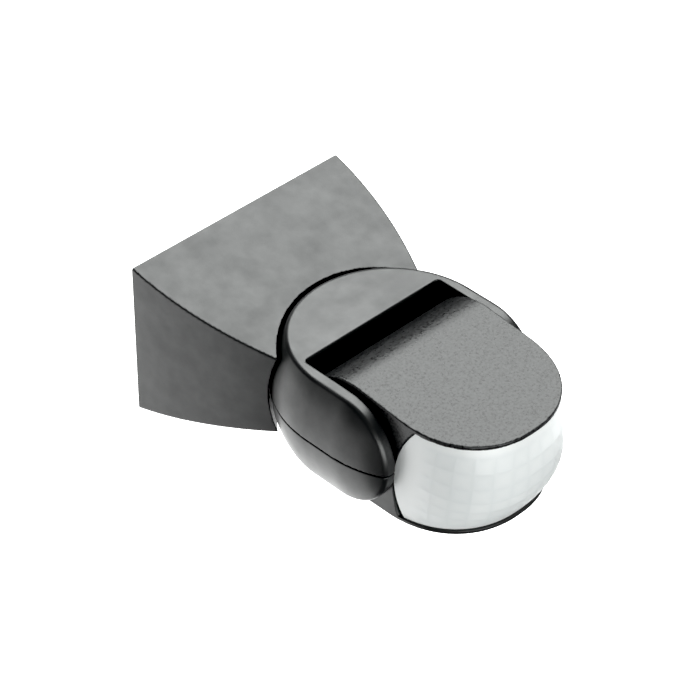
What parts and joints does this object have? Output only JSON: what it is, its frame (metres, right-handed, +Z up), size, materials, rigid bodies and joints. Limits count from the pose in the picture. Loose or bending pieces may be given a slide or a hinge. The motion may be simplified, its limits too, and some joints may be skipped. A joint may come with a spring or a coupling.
{
  "type": "motion sensor",
  "caption": "Wall-mounted outdoor infrared motion sensor with a tapered bracket, a panning ball yoke and a tilting head behind a wraparound Fresnel lens.",
  "frame": {"origin": "centre of the bracket's wall face", "axes": "+Y into the wall, -Y out into the room, +Z up, +X to the right seen from the room facing the sensor"},
  "size_m": [0.075, 0.1111, 0.0478],
  "materials": {
    "anthracite_abs": "satin",
    "lens_hdpe": "satin",
    "rubber": "matte",
    "natural_nylon": "satin",
    "black_acetal": "satin",
    "zinc_steel": "satin",
    "lead_pvc": "satin",
    "circuit_board": "satin",
    "ochre_epoxy": "gloss",
    "black_epoxy": "matte",
    "blue_sleeve": "gloss",
    "silicon": "gloss",
    "red_epoxy": "gloss"
  },
  "bodies": {
    "bracket": {"bracket_shell": "anthracite_abs", "back_plate": "anthracite_abs", "wall_seal": "rubber", "cable_grommet": "rubber", "terminal_block": "natural_nylon", "terminal_screw_1": "zinc_steel", "terminal_screw_2": "zinc_steel", "terminal_screw_3": "zinc_steel", "cover_screw_left": "zinc_steel", "cover_screw_right": "zinc_steel", "swivel_key": "black_acetal", "key_screw_lower": "zinc_steel", "key_screw_upper": "zinc_steel", "bracket_lead": "lead_pvc"},
    "yoke": {"yoke_upper_shell": "anthracite_abs", "yoke_lower_shell": "anthracite_abs", "yoke_screw_left": "zinc_steel", "yoke_screw_right": "zinc_steel", "tilt_ring_left": "rubber", "tilt_ring_right": "rubber", "yoke_lead": "lead_pvc"},
    "head": {"head_upper_case": "anthracite_abs", "head_lower_case": "anthracite_abs", "fresnel_lens": "lens_hdpe", "lens_retainer": "anthracite_abs", "tilt_axle_left": "black_acetal", "tilt_axle_right": "black_acetal", "main_board": "circuit_board", "sensor_board": "circuit_board", "board_screw_1": "zinc_steel", "board_screw_2": "zinc_steel", "pyro_can": "zinc_steel", "pyro_window": "silicon", "relay": "natural_nylon", "film_capacitor": "ochre_epoxy", "lead_connector": "natural_nylon", "control_chip": "black_epoxy", "smoothing_capacitor": "blue_sleeve", "indicator_led": "red_epoxy", "light_sensor": "ochre_epoxy", "case_screw_1": "zinc_steel", "case_screw_2": "zinc_steel", "head_lead": "lead_pvc", "range_potentiometer": "black_epoxy", "time_potentiometer": "black_epoxy", "dusk_potentiometer": "black_epoxy"},
    "range_knob": {"range_knob": "black_acetal"},
    "time_knob": {"time_knob": "black_acetal"},
    "dusk_knob": {"dusk_knob": "black_acetal"}
  },
  "joints": [
    {"name": "pan", "type": "hinge", "parent": "bracket", "child": "yoke", "pos_m": [0, -0.06, 0], "axis": [0, 0, 1], "range_deg": [-30, 30]},
    {"name": "tilt", "type": "hinge", "parent": "yoke", "child": "head", "pos_m": [0, -0.0694, 0], "axis": [1, 0, 0], "range_deg": [-20, 60]},
    {"name": "range_turn", "type": "hinge", "parent": "head", "child": "range_knob", "pos_m": [-0.012, -0.08427, -0.01762], "axis": [0, -0.1028, 0.9947], "range_deg": [-135, 135]},
    {"name": "time_turn", "type": "hinge", "parent": "head", "child": "time_knob", "pos_m": [0, -0.08427, -0.01762], "axis": [0, -0.1028, 0.9947], "range_deg": [-135, 135]},
    {"name": "dusk_turn", "type": "hinge", "parent": "head", "child": "dusk_knob", "pos_m": [0.012, -0.08427, -0.01762], "axis": [0, -0.1028, 0.9947], "range_deg": [-135, 135]}
  ]
}
